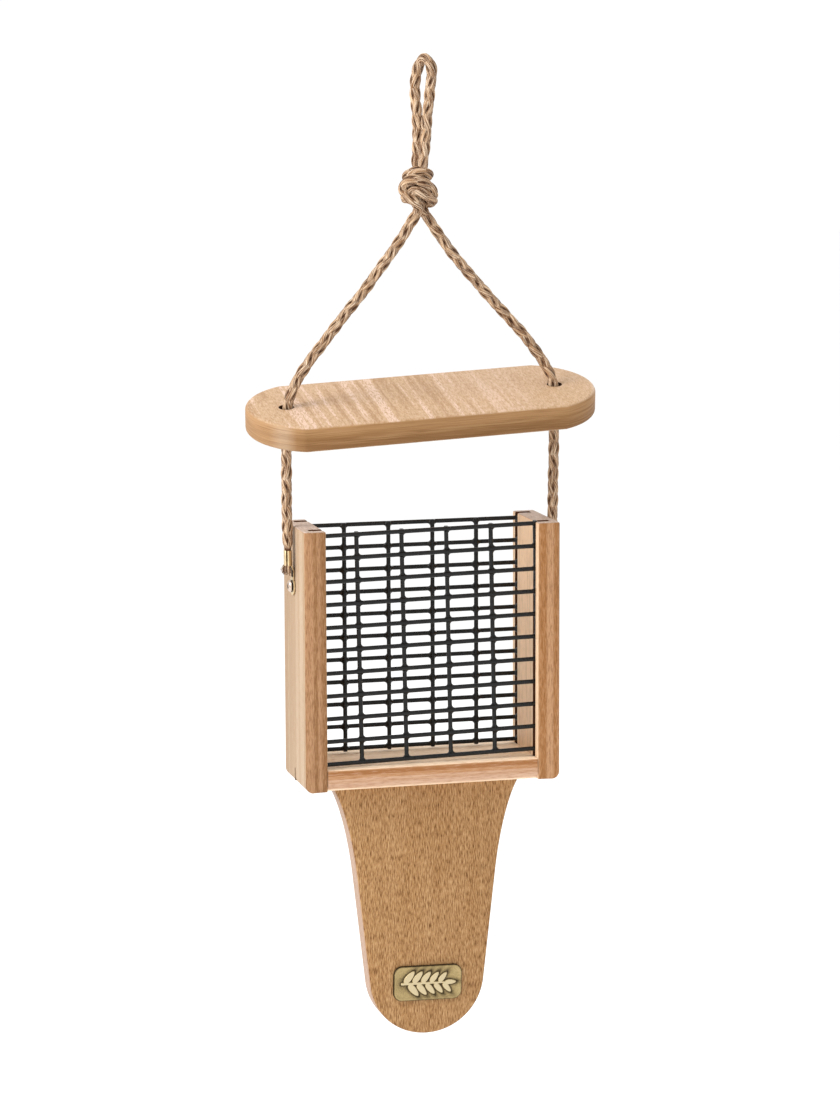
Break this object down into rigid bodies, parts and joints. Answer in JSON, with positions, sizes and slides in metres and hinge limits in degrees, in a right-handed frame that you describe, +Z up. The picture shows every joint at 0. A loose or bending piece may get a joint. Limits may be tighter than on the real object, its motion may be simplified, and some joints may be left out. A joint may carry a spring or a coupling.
{
  "type": "hanging suet feeder",
  "caption": "Hanging suet feeder of plastic lumber with wire grids, a sliding lid on a knotted rope and a tail board.",
  "frame": {"origin": "inner top of the rope loop, where the feeder hangs", "axes": "+Z up along the hanging direction, +X to the feeder's right, -Y to its front"},
  "size_m": [0.1966, 0.0742, 0.5464],
  "materials": {
    "plastic_lumber": "streaked, brushed grain",
    "coated_wire": "glossy vinyl coating over steel wire",
    "rope_fibre": "diamond braid, slightly fuzzy",
    "brass": "bright",
    "antique_brass": "darkened in the recess",
    "zinc_steel": "zinc plated"
  },
  "bodies": {
    "root": {"left_side_board": "plastic_lumber", "right_side_board": "plastic_lumber", "bottom_board": "plastic_lumber", "tail_board": "plastic_lumber", "badge_plate": "antique_brass", "front_mesh": "coated_wire", "back_mesh": "coated_wire", "left_lug": "brass", "right_lug": "brass", "left_lug_screw": "zinc_steel", "right_lug_screw": "zinc_steel", "left_staple": "zinc_steel", "right_staple": "zinc_steel", "tail_staple_left": "zinc_steel", "tail_staple_right": "zinc_steel", "rope_loop": "rope_fibre", "rope_knot": "rope_fibre", "left_rope_leg": "rope_fibre", "right_rope_leg": "rope_fibre", "left_rope_end": "rope_fibre", "right_rope_end": "rope_fibre"},
    "rope_runs": {"left_rope_run": "rope_fibre", "right_rope_run": "rope_fibre"},
    "lid": {"lid": "plastic_lumber"}
  },
  "joints": [
    {"name": "lid_slide", "type": "slide", "parent": "root", "child": "rope_runs", "axis": [0, 0, 1], "range_m": [-0.055, 0.04], "deforming": ["left_rope_run", "right_rope_run", "left_rope_leg", "right_rope_leg"]},
    {"name": "lid_tip", "type": "hinge", "parent": "rope_runs", "child": "lid", "pos_m": [-0.0024, 0, -0.1868], "axis": [0.9727, -0.2323, 0], "range_deg": [-13.3, 9.7]}
  ],
  "couplings": [
    {"joint": "lid_tip", "follows": "lid_slide", "rad_per_m": 4.193}
  ]
}
